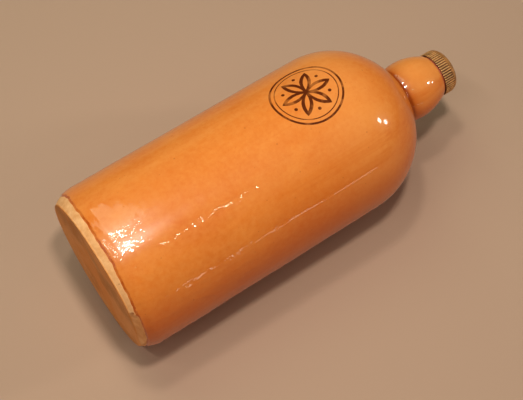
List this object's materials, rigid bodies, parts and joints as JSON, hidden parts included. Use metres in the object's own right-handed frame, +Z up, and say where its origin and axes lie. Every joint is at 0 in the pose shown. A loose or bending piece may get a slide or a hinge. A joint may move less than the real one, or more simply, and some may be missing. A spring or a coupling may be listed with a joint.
{
  "type": "stoneware hot water bottle",
  "caption": "Honey-glazed stoneware hot water bottle lying on its side, with a bare base band, a bulbous neck and a ribbed brass screw stopper.",
  "frame": {"origin": "on the surface that the bottle lies on, below the middle of its overall length", "axes": "+X along the bottle's axis towards the stopper, +Z up, +Y completes the frame"},
  "size_m": [0.281, 0.115, 0.115],
  "materials": {
    "honey_glaze": "gloss",
    "cement": "matte",
    "bush_brass": "satin",
    "washer_rubber": "matte",
    "stopper_brass": "satin"
  },
  "bodies": {
    "bottle": {"stoneware_bottle": "honey_glaze", "cement_bed": "cement", "neck_bush": "bush_brass"},
    "washer": {"sealing_washer": "washer_rubber"},
    "stopper": {"stopper_head": "stopper_brass", "stopper_stem": "bush_brass"}
  },
  "joints": [
    {"name": "stopper_rise", "type": "slide", "parent": "bottle", "child": "washer", "axis": [1, 0, 0], "range_m": [0, 0.015]},
    {"name": "stopper_turn", "type": "hinge", "parent": "washer", "child": "stopper", "pos_m": [0.12951, 0, 0.0575], "axis": [1, 0, 0], "range_deg": [0, 1800]}
  ],
  "couplings": [
    {"joint": "stopper_turn", "follows": "stopper_rise", "rad_per_m": 2094.4}
  ]
}
